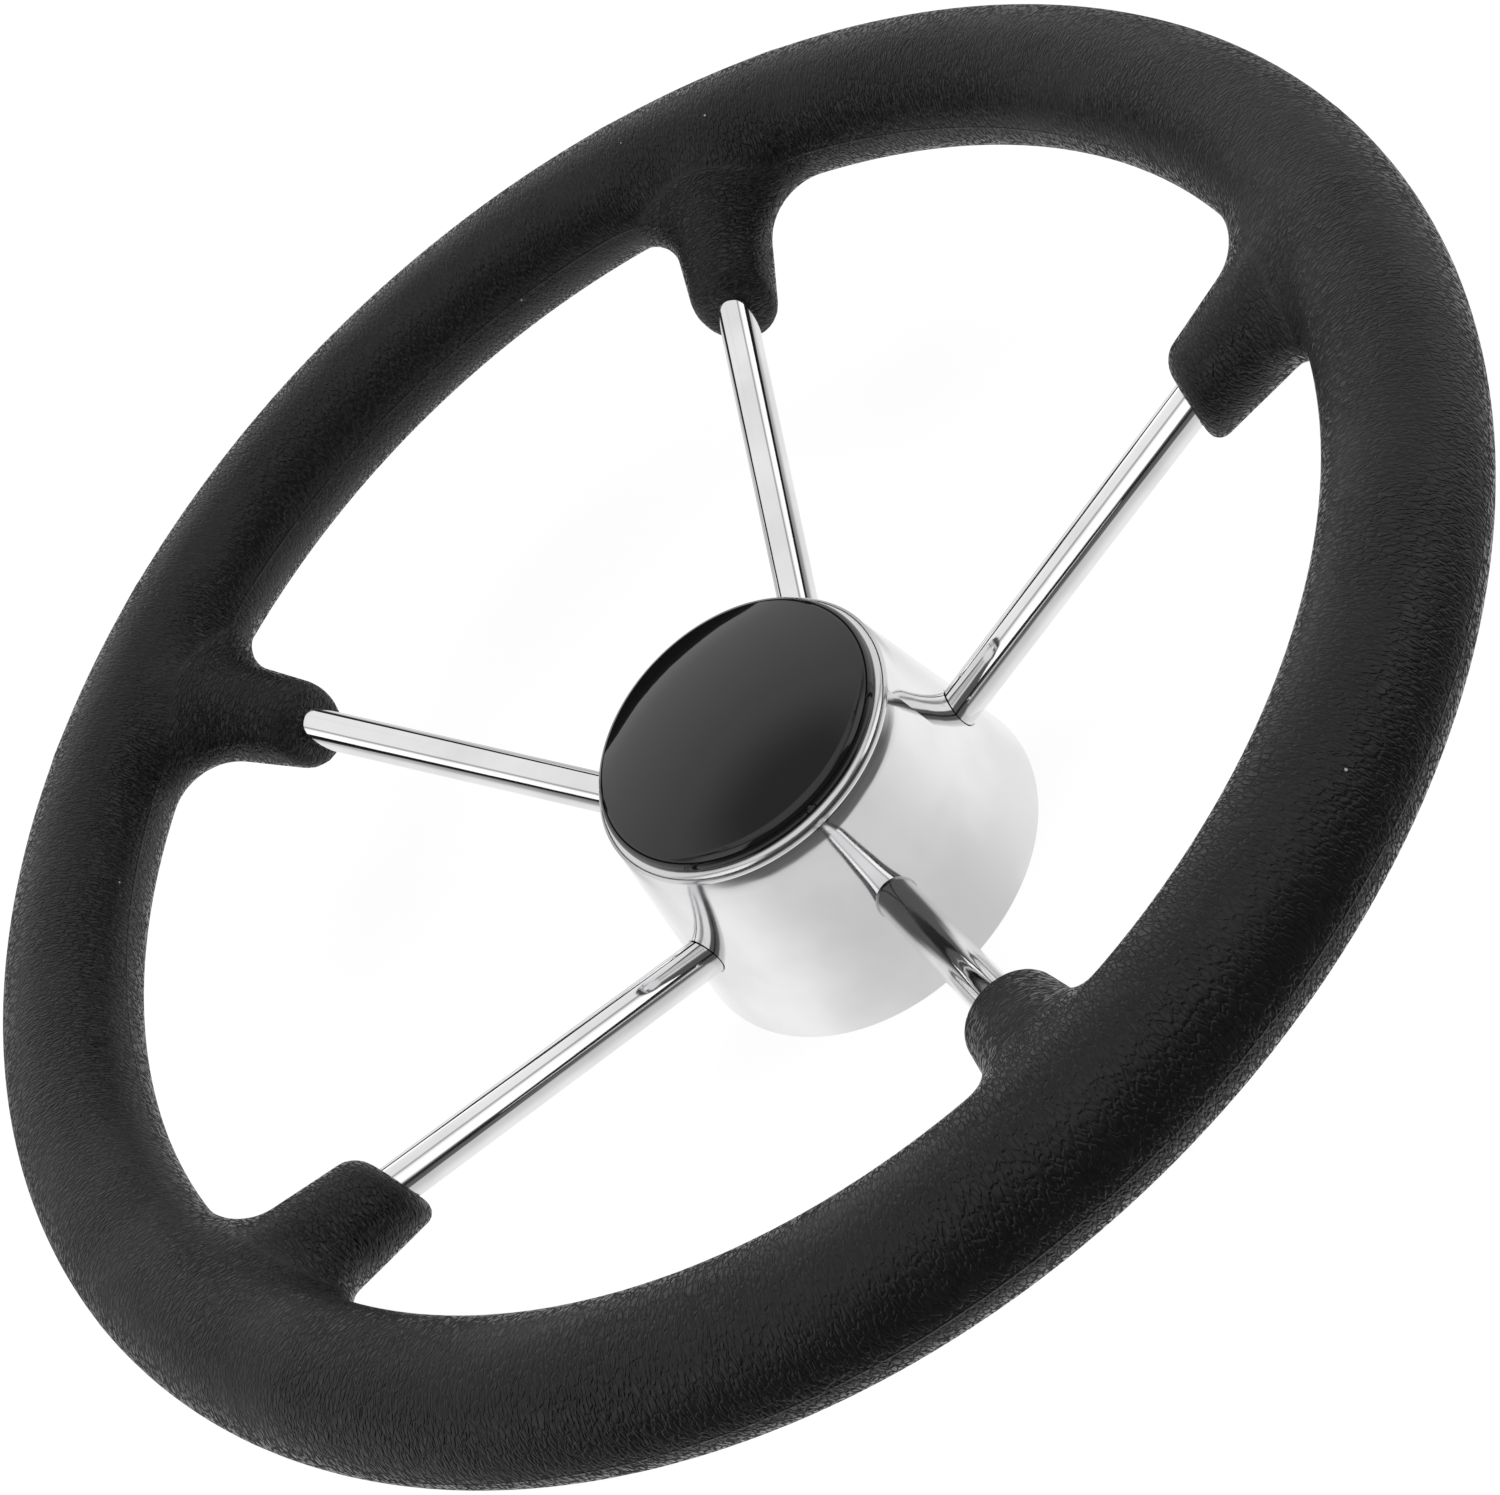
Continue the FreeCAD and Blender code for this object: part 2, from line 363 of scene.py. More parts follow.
class Effect:
    """A shader node group that finishes share, built the first time one places it."""

    title = ""
    takes: tuple[tuple[str, str, object], ...] = ()
    gives: tuple[tuple[str, str], ...] = ()

    @classmethod
    def group(cls) -> bpy.types.NodeTree:
        """Find or build the group.

        Returns:
            The group's node tree.
        """
        found = bpy.data.node_groups.get(cls.title)
        if found:
            return found
        tree = bpy.data.node_groups.new(cls.title, "ShaderNodeTree")
        for name, kind, start in cls.takes:
            socket = tree.interface.new_socket(name, in_out="INPUT", socket_type="NodeSocket" + kind)
            socket.default_value = start
        for name, kind in cls.gives:
            tree.interface.new_socket(name, in_out="OUTPUT", socket_type="NodeSocket" + kind)
        board = Board(tree)
        entry = tree.nodes.new("NodeGroupInput")
        results = cls.lay_out(board, entry.outputs)
        leave = tree.nodes.new("NodeGroupOutput")
        for name, _ in cls.gives:
            board.feed(leave.inputs[name], results[name])
        return tree

    @classmethod
    def lay_out(cls, board: Board, given: bpy.types.NodeOutputs) -> dict[str, bpy.types.NodeSocket]:
        """Lay out the group's nodes.

        Args:
            board: The group's tree.
            given: The group's inputs.

        Returns:
            A socket for each output's name.
        """
        raise NotImplementedError

    @classmethod
    def place(cls, board: Board, **values: Wired) -> bpy.types.NodeOutputs:
        """Put the group in a material.

        Args:
            board: The material's tree.
            **values: What feeds the inputs, by name.

        Returns:
            The placed group's outputs.
        """
        made = board.node("Group", node_tree=cls.group())
        for name, value in values.items():
            board.feed(made.inputs[name], value)
        return made.outputs


class WheelPlace(Effect):
    """Where a point is on the wheel: round the shaft, round the rim's section, and by its spoke.

    Circle is the point's direction on the rim's centre circle, Across and Above are its distances
    from that circle, Spoke is its place along, beside and over the nearest spoke, and Radius is
    its distance from the shaft axis.
    """

    title = "wheel place"
    takes = (
        ("Point", "Vector", (0, 0, 0)), ("Rim Radius", "Float", 0.15), ("Rim Height", "Float", 0.08),
        ("Spoke Slope", "Float", 0.4),
    )
    gives = (
        ("Circle", "Vector"), ("Across", "Float"), ("Above", "Float"), ("Spoke", "Vector"), ("Radius", "Float"),
    )

    @classmethod
    def lay_out(cls, board: Board, given: bpy.types.NodeOutputs) -> dict[str, bpy.types.NodeSocket]:
        """Lay out the polar coordinates and the fold to the nearest spoke."""
        x, y, z = board.split(given["Point"])
        radius = board.distance(x, y)
        turn = board.math("ARCTAN2", y, x)
        circle = board.xyz(board.math("COSINE", turn), board.math("SINE", turn), 0.0)
        on_rim = board.node("VectorMath", operation="SCALE")
        board.feed(on_rim.inputs[0], circle)
        board.feed(on_rim.inputs["Scale"], given["Rim Radius"])
        sector = 2 * math.pi / SPOKE_COUNT
        shifted = board.math("ADD", turn, sector / 2 - FIRST_SPOKE + 2 * math.pi)
        folded = board.math("SUBTRACT", board.math("FLOORED_MODULO", shifted, sector), sector / 2)
        out = board.math("MULTIPLY", radius, board.math("COSINE", folded))
        beside = board.math("MULTIPLY", radius, board.math("SINE", folded))
        lean = board.math("COSINE", given["Spoke Slope"])
        climb = board.math("SINE", given["Spoke Slope"])
        along = board.math("ADD", board.math("MULTIPLY", out, lean), board.math("MULTIPLY", z, climb))
        over = board.math("SUBTRACT", board.math("MULTIPLY", z, lean), board.math("MULTIPLY", out, climb))
        return {
            "Circle": on_rim.outputs["Vector"],
            "Across": board.math("SUBTRACT", radius, given["Rim Radius"]),
            "Above": board.math("SUBTRACT", z, given["Rim Height"]),
            "Spoke": board.xyz(along, beside, over),
            "Radius": radius,
        }


class SkinWrinkles(Effect):
    """Fine wrinkled relief of a moulded skin: long cells with creases between them."""

    title = "skin wrinkles"
    takes = (("Place", "Vector", (0, 0, 0)), ("Waviness", "Float", 1.1))
    gives = (("Height", "Float"), ("Crease", "Float"))

    @classmethod
    def lay_out(cls, board: Board, given: bpy.types.NodeOutputs) -> dict[str, bpy.types.NodeSocket]:
        """Lay out cells with wavy borders and a finer layer inside them."""
        wave = board.node("TexNoise")
        board.feed(wave.inputs["Vector"], given["Place"])
        wave.inputs["Scale"].default_value = 1.0
        wave.inputs["Detail"].default_value = 1.0
        centred = board.vector_math("SUBTRACT", wave.outputs["Color"], (0.5, 0.5, 0.5))
        shift = board.node("VectorMath", operation="SCALE")
        board.feed(shift.inputs[0], centred)
        board.feed(shift.inputs["Scale"], given["Waviness"])
        wavy = board.vector_math("ADD", given["Place"], shift.outputs["Vector"])
        cells = board.cells(wavy, 1.0, "DISTANCE_TO_EDGE")
        crease = board.fade(cells.outputs["Distance"], 0.0, 0.22)
        height = board.math("MULTIPLY_ADD", crease, 0.7, board.math("MULTIPLY", wave.outputs[0], 0.6))
        return {"Height": height, "Crease": crease}


class CloudyHaze(Effect):
    """Soft clouds over a polished or moulded surface, as handling and polishing leave."""

    title = "cloudy haze"
    takes = (
        ("Point", "Vector", (0, 0, 0)), ("Scale", "Float", 30.0), ("Low", "Float", 0.0), ("High", "Float", 1.0),
    )
    gives = (("Value", "Float"), ("Height", "Float"))

    @classmethod
    def lay_out(cls, board: Board, given: bpy.types.NodeOutputs) -> dict[str, bpy.types.NodeSocket]:
        """Lay out broad clouds with a little finer mottling."""
        broad = board.noise(given["Point"], given["Scale"], 3.0)
        spread = board.fade(broad, 0.32, 0.68)
        return {"Value": board.blend(spread, given["Low"], given["High"]), "Height": broad}


class DustSpecks(Effect):
    """A few pale specks of dust, each a small round dot."""

    title = "dust specks"
    takes = (
        ("Point", "Vector", (0, 0, 0)), ("Spacing", "Float", 0.004), ("Size", "Float", 0.06), ("Share", "Float", 0.05),
    )
    gives = (("Mask", "Float"),)

    @classmethod
    def lay_out(cls, board: Board, given: bpy.types.NodeOutputs) -> dict[str, bpy.types.NodeSocket]:
        """Lay out cells, and keep a dot in a small share of them."""
        per_metre = board.math("DIVIDE", 1.0, given["Spacing"])
        cells = board.cells(given["Point"], per_metre)
        red, green, _ = board.split(cells.outputs["Color"])
        chosen = board.math("LESS_THAN", red, given["Share"])
        reach = board.math("MULTIPLY", given["Size"], board.math("ADD", 0.5, green))
        dot = board.math("LESS_THAN", cells.outputs["Distance"], reach)
        return {"Mask": board.math("MULTIPLY", chosen, dot)}


class PolishLines(Effect):
    """Very fine lines that polishing or turning leaves along one direction."""

    title = "polish lines"
    takes = (("Across", "Vector", (0, 0, 0)), ("Spacing", "Float", 0.0004))
    gives = (("Height", "Float"), ("Value", "Float"))

    @classmethod
    def lay_out(cls, board: Board, given: bpy.types.NodeOutputs) -> dict[str, bpy.types.NodeSocket]:
        """Lay out noise that is stretched along the lines."""
        per_metre = board.math("DIVIDE", 1.0, given["Spacing"])
        lines = board.noise(given["Across"], per_metre, 3.0)
        return {"Height": lines, "Value": board.fade(lines, 0.35, 0.65)}


class LineRun(Enum):
    """Which way a finish's fine lines run."""

    ALONG_SPOKE = "along the spoke"
    ROUND_SHAFT = "round the shaft"
    TURNED_FACE = "round the shaft on flat faces too"


class FinishBase:
    """What every finish shares: a named material with one Principled surface."""

    name = "finish"

    def material(self, sizes: WheelSizes) -> bpy.types.Material:
        """Make the material.

        Args:
            sizes: The wheel's sizes, for textures that follow its form.

        Returns:
            The material.
        """
        made = bpy.data.materials.new(self.name)
        made.use_nodes = True
        made.node_tree.nodes.clear()
        board = Board(made.node_tree)
        surface = board.node("BsdfPrincipled")
        target = board.node("OutputMaterial")
        board.feed(target.inputs["Surface"], surface.outputs[0])
        point = board.node("TexCoord").outputs["Object"]
        self.paint(board, surface.inputs, point, sizes)
        return made

    def paint(
        self, board: Board, surface: bpy.types.NodeInputs, point: bpy.types.NodeSocket, sizes: WheelSizes,
    ) -> None:
        """Feed the Principled surface's sockets.

        Args:
            board: The material's tree.
            surface: The Principled surface's inputs.
            point: The point on the wheel.
            sizes: The wheel's sizes.
        """
        raise NotImplementedError

    @staticmethod
    def place_on_wheel(
        board: Board, point: bpy.types.NodeSocket, sizes: WheelSizes,
    ) -> bpy.types.NodeOutputs:
        """Place the group that says where a point is on the wheel.

        Args:
            board: The material's tree.
            point: The point.
            sizes: The wheel's sizes.

        Returns:
            The group's outputs.
        """
        values = {
            "Point": point, "Rim Radius": sizes.rim_radius, "Rim Height": sizes.rim_height,
            "Spoke Slope": math.atan(sizes.spoke_slope),
        }
        return WheelPlace.place(board, **values)

    @staticmethod
    def fine_lines(
        board: Board, place: bpy.types.NodeOutputs, point: bpy.types.NodeSocket, run: LineRun, spacing: float,
    ) -> bpy.types.NodeOutputs:
        """Place fine polishing lines that run one way.

        Args:
            board: The material's tree.
            place: The outputs of the group that says where the point is.
            point: The point on the wheel.
            run: Which way the lines run.
            spacing: Their distance from each other, in metres.

        Returns:
            The lines' outputs.
        """
        if run is LineRun.ALONG_SPOKE:
            along, beside, over = board.split(place["Spoke"])
            across = board.xyz(board.math("MULTIPLY", along, LINE_STRETCH), beside, over)
        else:
            _, _, height = board.split(point)
            turn, _, _ = board.split(place["Circle"])
            level = place["Radius"] if run is LineRun.TURNED_FACE else 0.0
            across = board.xyz(board.math("MULTIPLY", turn, LINE_STRETCH), level, height)
        return PolishLines.place(board, Across=across, Spacing=spacing)


@dataclass(frozen=True)
class FoamSkin(FinishBase):
    """Black self-skinned foam with a fine leather-like grain, whose creases are darkened with painted shade."""

    name: str = "foam skin"
    colour: Colour = (0.0036, 0.0036, 0.0038)
    pale: Colour = (0.0058, 0.0058, 0.0061)
    dust: Colour = (0.30, 0.30, 0.31)
    wrinkle_spacing: float = 0.0009
    wrinkle_length: float = 0.0024
    relief: float = 0.00045
    sleeve_from: float = -0.0165
    join_width: float = 0.0015
    parting_half_width: float = 0.0005
    parting_relief: float = 0.35
    patch_scale: float = 32.0
    shade_scale: float = 85.0
    # Painted shade: how dark the grain's creases are made in the colour.
    painted_crease_shade: float = 0.6
    dust_spacing: float = 0.0075
    dust_size: float = 0.035
    dust_share: float = 0.14
    dust_roughness: float = 0.3
    ridge_roughness: tuple[float, float] = (0.34, 0.20)
    crease_roughness: tuple[float, float] = (0.42, 0.85)
    ior: float = 1.39

    def paint(
        self, board: Board, surface: bpy.types.NodeInputs, point: bpy.types.NodeSocket, sizes: WheelSizes,
    ) -> None:
        """Grain that runs round the rim's section, and round each sleeve."""
        place = self.place_on_wheel(board, point, sizes)
        along = 1 / self.wrinkle_spacing
        around = 1 / self.wrinkle_length
        cx, cy, _ = board.split(place["Circle"])
        bend = board.math("ARCTAN2", place["Above"], place["Across"])
        rim_place = board.xyz(
            board.math("MULTIPLY", cx, along),
            board.math("MULTIPLY", cy, along),
            board.math("MULTIPLY", bend, sizes.grip_radius * around),
        )
        sleeve_place = board.vector_math("MULTIPLY", place["Spoke"], (along, around, around))
        on_sleeve = board.math("LESS_THAN", place["Across"], self.sleeve_from)
        skin = SkinWrinkles.place(board, Place=board.pick(on_sleeve, rim_place, sleeve_place))
        crease = skin["Crease"]
        from_join = board.math("ABSOLUTE", board.math("SUBTRACT", place["Across"], self.sleeve_from))
        join = board.fade(from_join, 0.0, self.join_width, 0.3, 1.0)
        patches = CloudyHaze.place(board, Point=point, Scale=self.patch_scale, Low=0.25, High=1.0)
        relief = board.math("MULTIPLY", skin["Height"], board.math("MULTIPLY", patches["Value"], join))
        from_seam = board.math("ABSOLUTE", place["Above"])
        seam = board.fade(from_seam, 0.0, self.parting_half_width, self.parting_relief, 0.0)
        off_sleeve = board.math("SUBTRACT", 1.0, on_sleeve)
        relief = board.math("ADD", relief, board.math("MULTIPLY", seam, off_sleeve))
        specks = DustSpecks.place(
            board, Point=point, Spacing=self.dust_spacing, Size=self.dust_size, Share=self.dust_share,
        )
        shade = CloudyHaze.place(board, Point=point, Scale=self.shade_scale, Low=0.0, High=1.0)
        body = board.tint(shade["Value"], self.colour, self.pale)
        # Painted shade: the colour is made darker in the grain's creases, where shade would fall.
        colour_with_painted_crease_shade = board.tint(crease, tuple(c * self.painted_crease_shade for c in self.colour), body)
        board.feed(surface["Base Color"], board.tint(specks["Mask"], colour_with_painted_crease_shade, self.dust))
        grazing = board.node("LayerWeight").outputs["Facing"]
        edge_on = board.fade(grazing, 0.40, 0.85)
        in_crease = board.blend(edge_on, *self.crease_roughness)
        on_ridge = board.blend(edge_on, *self.ridge_roughness)
        gloss = board.blend(crease, in_crease, on_ridge)
        board.feed(
            surface["Roughness"], board.math("MULTIPLY_ADD", specks["Mask"], self.dust_roughness, gloss),
        )
        surface["IOR"].default_value = self.ior
        board.feed(surface["Normal"], board.bump(relief, self.relief))


@dataclass(frozen=True)
class MirrorRod(FinishBase):
    """Mirror-polished stainless bar with hair lines along it."""

    name: str = "mirror rod"
    colour: Colour = (0.84, 0.84, 0.845)
    dull: Colour = (0.76, 0.76, 0.77)
    line_spacing: float = 0.0005
    line_relief: float = 0.000004
    haze_scale: float = 70.0
    wave: float = 0.00004

    def paint(
        self, board: Board, surface: bpy.types.NodeInputs, point: bpy.types.NodeSocket, sizes: WheelSizes,
    ) -> None:
        """Near-mirror metal with faint lines and handling haze."""
        place = self.place_on_wheel(board, point, sizes)
        lines = self.fine_lines(board, place, point, LineRun.ALONG_SPOKE, self.line_spacing)
        haze = CloudyHaze.place(board, Point=point, Scale=self.haze_scale, Low=0.0, High=1.0)
        board.feed(surface["Base Color"], board.tint(haze["Value"], self.colour, self.dull))
        surface["Metallic"].default_value = 1.0
        rough = board.math("MULTIPLY_ADD", haze["Value"], 0.025, 0.035)
        board.feed(surface["Roughness"], board.math("MULTIPLY_ADD", lines["Value"], 0.02, rough))
        waves = board.bump(haze["Height"], self.wave)
        board.feed(surface["Normal"], board.bump(lines["Height"], self.line_relief, waves))


@dataclass(frozen=True)
class SpunShell(FinishBase):
    """Polished spun sheet: faint rings, slow waves, cloudy patches and painted shade on the rolled lip."""

    name: str = "spun shell"
    colour: Colour = (0.90, 0.90, 0.905)
    cloud: Colour = (0.80, 0.80, 0.81)
    # Painted shade: a darker metal colour on the rolled lip, standing in for the darker reflections there.
    lip: Colour = (0.66, 0.66, 0.67)
    lip_blend: float = 0.0006
    ring_spacing: float = 0.0006
    ring_relief: float = 0.000004
    cloud_scale: float = 38.0
    wave_scale: float = 22.0
    wave: float = 0.0002
    flare_from: float = 0.0456
    flare_to: float = 0.0502
    flare_depth: float = 0.00085

    def paint(
        self, board: Board, surface: bpy.types.NodeInputs, point: bpy.types.NodeSocket, sizes: WheelSizes,
    ) -> None:
        """Soft mirror whose lines run round the shaft, hollowed a little where the lip was rolled."""
        place = self.place_on_wheel(board, point, sizes)
        rings = self.fine_lines(board, place, point, LineRun.ROUND_SHAFT, self.ring_spacing)
        clouds = CloudyHaze.place(board, Point=point, Scale=self.cloud_scale, Low=0.0, High=1.0)
        wave = CloudyHaze.place(board, Point=point, Scale=self.wave_scale, Low=0.0, High=1.0)
        _, _, height = board.split(point)
        on_lip = board.fade(height, self.flare_to, self.flare_to + self.lip_blend)
        body = board.tint(clouds["Value"], self.colour, self.cloud)
        # Painted shade: the colour is darker on the rolled lip; the lip is also made rougher below.
        board.feed(surface["Base Color"], board.tint(on_lip, body, self.lip))
        surface["Metallic"].default_value = 1.0
        rough = board.math("MULTIPLY_ADD", clouds["Value"], 0.06, 0.06)
        rough = board.math("MULTIPLY_ADD", on_lip, 0.06, rough)
        board.feed(surface["Roughness"], board.math("MULTIPLY_ADD", rings["Value"], 0.03, rough))
        rise = board.fade(height, self.flare_from, self.flare_to, shape="LINEAR")
        hollow = board.math("POWER", rise, 2.0)
        uneven = board.blend(wave["Value"], -0.5, -1.0)
        flare = board.bump(board.math("MULTIPLY", hollow, uneven), self.flare_depth)
        waves = board.bump(wave["Height"], self.wave, flare)
        board.feed(surface["Normal"], board.bump(rings["Height"], self.ring_relief, waves))


@dataclass(frozen=True)
class TurnedSteel(FinishBase):
    """Machined stainless with tool rings round the shaft."""

    name: str = "turned steel"
    colour: Colour = (0.62, 0.62, 0.63)
    dull: Colour = (0.48, 0.48, 0.49)
    ring_spacing: float = 0.0005
    ring_relief: float = 0.00004
    haze_scale: float = 120.0
    roughness: float = 0.26

    def paint(
        self, board: Board, surface: bpy.types.NodeInputs, point: bpy.types.NodeSocket, sizes: WheelSizes,
    ) -> None:
        """Rings by distance from the shaft and by height."""
        place = self.place_on_wheel(board, point, sizes)
        rings = self.fine_lines(board, place, point, LineRun.TURNED_FACE, self.ring_spacing)
        haze = CloudyHaze.place(board, Point=point, Scale=self.haze_scale, Low=0.0, High=1.0)
        board.feed(surface["Base Color"], board.tint(haze["Value"], self.colour, self.dull))
        surface["Metallic"].default_value = 1.0
        rough = board.math("MULTIPLY_ADD", haze["Value"], 0.08, self.roughness)
        board.feed(surface["Roughness"], board.math("MULTIPLY_ADD", rings["Value"], 0.08, rough))
        board.feed(surface["Normal"], board.bump(rings["Height"], self.ring_relief))


@dataclass(frozen=True)
class GlossCap(FinishBase):
    """Gloss black moulding with faint haze and a little dust."""

    name: str = "gloss cap"
    colour: Colour = (0.0045, 0.0045, 0.0048)
    dust: Colour = (0.20, 0.20, 0.21)
    dust_spacing: float = 0.006
    dust_size: float = 0.03
    dust_share: float = 0.05
    haze_scale: float = 60.0
    haze_relief: float = 0.00003
    ior: float = 1.5

    def paint(
        self, board: Board, surface: bpy.types.NodeInputs, point: bpy.types.NodeSocket, sizes: WheelSizes,
    ) -> None:
        """Near-mirror black with faint haze."""
        haze = CloudyHaze.place(board, Point=point, Scale=self.haze_scale, Low=0.0, High=1.0)
        specks = DustSpecks.place(
            board, Point=point, Spacing=self.dust_spacing, Size=self.dust_size, Share=self.dust_share,
        )
        board.feed(surface["Base Color"], board.tint(specks["Mask"], self.colour, self.dust))
        rough = board.math("MULTIPLY_ADD", haze["Value"], 0.015, 0.02)
        board.feed(surface["Roughness"], board.math("MULTIPLY_ADD", specks["Mask"], 0.4, rough))
        surface["IOR"].default_value = self.ior
        board.feed(surface["Normal"], board.bump(haze["Height"], self.haze_relief))


def put_in_scene(name: str, data: bpy.types.ID) -> bpy.types.Object:
    """Make an object and show it.

    Args:
        name: Its name.
        data: Its mesh, camera or lamp.

    Returns:
        The object.
    """
    made = bpy.data.objects.new(name, data)
    bpy.context.scene.collection.objects.link(made)
    return made


def finished(name: str, mesh: bmesh.types.BMesh) -> bpy.types.Object:
    """Turn an edited mesh into an object.

    Args:
        name: The object's name.
        mesh: The edited mesh, which is used up.

    Returns:
        The object.
    """
    data = bpy.data.meshes.new(name)
    mesh.to_mesh(data)
    mesh.free()
    return put_in_scene(name, data)


def dress(piece: bpy.types.Object, finish: FinishBase, sizes: WheelSizes) -> None:
    """Give a piece its finish and log it.

    Args:
        piece: The piece.
        finish: Its finish.
        sizes: The wheel's sizes.
    """
    material = bpy.data.materials.get(finish.name) or finish.material(sizes)
    piece.data.materials.clear()
    piece.data.materials.append(material)
    LOG.info("%s: %s, %d faces", piece.name, finish.name, len(piece.data.polygons))


@dataclass
class GripMoulding:
    """The foam grip: one skin over the round rim and its five sleeves."""

    sizes: WheelSizes
    sleeve_reach: float = 0.0415
    sleeve_end_radius: float = 0.0096
    sleeve_above_ring: float = 0.0012
    crown_sink: float = 0.00025
    end_round: float = 0.0035
    root_round: float = 0.0148
    bore_gap: float = 0.00005
    mesh_step: float = 0.00124
    ring_steps: int = 240
    section_steps: int = 32
    bore_steps: int = 96
    settle_rounds: int = 4
    settle_limit: float = 0.002
    slope_step: float = 1e-5
    smooth_rounds: int = 3
    sharp_angle: float = math.radians(50)
    finish: FoamSkin = field(default_factory=FoamSkin)

    @property
    def end_radius(self) -> float:
        """Distance of the sleeves' upright ends from the shaft axis."""
        return self.sizes.rim_radius - self.sleeve_reach

    def sleeve_line(self) -> tuple[Vector, Vector]:
        """Ends of a sleeve's centre line in its own spoke's plane.

        Returns:
            The hub end and the rim end.
        """
        tip = Vector((self.end_radius, 0, self.sizes.spoke_height(self.end_radius)))
        return tip, Vector((self.sizes.rim_radius, 0, self.sizes.rim_height + self.sleeve_above_ring))

    def distance(self, points: np.ndarray) -> np.ndarray:
        """How far points lie outside the grip's skin.

        Args:
            points: One row for each point.

        Returns:
            The distances, negative inside.
        """
        sector = 2 * math.pi / SPOKE_COUNT
        turn = np.arctan2(points[:, 1], points[:, 0])
        folded = (turn - FIRST_SPOKE + sector / 2) % sector - sector / 2
        radius = np.hypot(points[:, 0], points[:, 1])
        x, y, z = radius * np.cos(folded), radius * np.sin(folded), points[:, 2]
        out, over = radius - self.sizes.rim_radius, z - self.sizes.rim_height
        reach = np.maximum(np.hypot(out, over), 1e-9)
        rim = reach - self.sizes.grip_radius
        tip, root = self.sleeve_line()
        axis = (root - tip).normalized()
        span = (root - tip).length
        root_radius = self.sizes.grip_radius - self.sleeve_above_ring * axis.x - self.crown_sink
        swell = (root_radius - self.sleeve_end_radius) / span
        steep = math.hypot(1, swell)
        along = (x - tip.x) * axis.x + (z - tip.z) * axis.z
        off_x, off_z = x - tip.x - along * axis.x, z - tip.z - along * axis.z
        aside = np.maximum(np.sqrt(off_x**2 + y**2 + off_z**2), 1e-9)
        body = np.maximum((aside - self.sleeve_end_radius - along * swell) / steep, along - span)
        cut = self.end_radius - x
        rounded = np.hypot(np.maximum(body + self.end_round, 0), np.maximum(cut + self.end_round, 0))
        sleeve = np.minimum(-self.end_round, np.maximum(body, cut)) + rounded
        rim_normal = np.stack((out * x / radius, out * y / radius, over)) / reach
        sleeve_normal = np.stack((off_x, y, off_z)) / aside - swell * np.array(axis)[:, None]
        lean = np.clip((rim_normal * sleeve_normal).sum(axis=0) / steep, -0.999, 0.999)
        a, b = self.root_round - rim, self.root_round - sleeve
        ball = np.sqrt(np.maximum(a * a + b * b - 2 * lean * a * b, 0) / (1 - lean**2))
        between = (a > lean * b) & (b > lean * a)
        return np.where(between, self.root_round - ball, np.minimum(rim, sleeve))

    def settle(self, points: np.ndarray) -> np.ndarray:
        """Move points on to the skin.

        Args:
            points: Points near the skin.

        Returns:
            The points on it.
        """
        for _ in range(self.settle_rounds):
            gap = self.distance(points)
            slopes = [self.distance(points + self.slope_step * unit) - gap for unit in np.eye(3)]
            normal = np.stack(slopes, axis=1) / self.slope_step
            length = np.maximum(np.linalg.norm(normal, axis=1, keepdims=True), 0.2)
            points = points - normal / length * np.clip(gap, -self.settle_limit, self.settle_limit)[:, None]
        return points

    def add_bars(
        self, mesh: bmesh.types.BMesh, ends: tuple[Vector, Vector], radii: tuple[float, float], steps: int,
    ) -> None:
        """Add a round bar at each spoke.

        Args:
            mesh: The mesh to add to.
            ends: A bar's ends in its own spoke's plane.
            radii: Its radius at each end.
            steps: How many sides it has.
        """
        start, stop = ends
        axis = stop - start
        stand = Matrix.Translation((start + stop) / 2) @ axis.to_track_quat("Z", "Y").to_matrix().to_4x4()
        for i in range(SPOKE_COUNT):
            spin = Matrix.Rotation(FIRST_SPOKE + 2 * math.pi * i / SPOKE_COUNT, 4, "Z")
            bmesh.ops.create_cone(
                mesh, cap_ends=True, segments=steps, radius1=radii[0], radius2=radii[1],
                depth=axis.length, matrix=spin @ stand,
            )

    def rough_form(self) -> bpy.types.Object:
        """Overlapping ring and sleeves, to be merged into one skin.

        Returns:
            The joined object.
        """
        mesh = bmesh.new()
        rings = []
        for i in range(self.ring_steps):
            turn = 2 * math.pi * i / self.ring_steps
            ring = []
            for j in range(self.section_steps):
                bend = 2 * math.pi * j / self.section_steps
                radius = self.sizes.rim_radius + self.sizes.grip_radius * math.cos(bend)
                height = self.sizes.rim_height + self.sizes.grip_radius * math.sin(bend)
                ring.append(mesh.verts.new((radius * math.cos(turn), radius * math.sin(turn), height)))
            rings.append(ring)
        for i, ring in enumerate(rings):
            after = rings[(i + 1) % self.ring_steps]
            for j in range(self.section_steps):
                k = (j + 1) % self.section_steps
                mesh.faces.new((ring[j], after[j], after[k], ring[k]))
        radii = (self.sleeve_end_radius, self.sleeve_end_radius + 0.002)
        self.add_bars(mesh, self.sleeve_line(), radii, self.section_steps)
        bmesh.ops.recalc_face_normals(mesh, faces=mesh.faces)
        return finished("grip_rough", mesh)

    def applied(self, source: bpy.types.Object) -> bpy.types.Mesh:
        """Mesh of an object with its modifiers applied; the object goes.

        Args:
            source: The object.

        Returns:
            The finished mesh.
        """
        graph = bpy.context.evaluated_depsgraph_get()
        made = bpy.data.meshes.new_from_object(source.evaluated_get(graph))
        bpy.data.objects.remove(source)
        return made

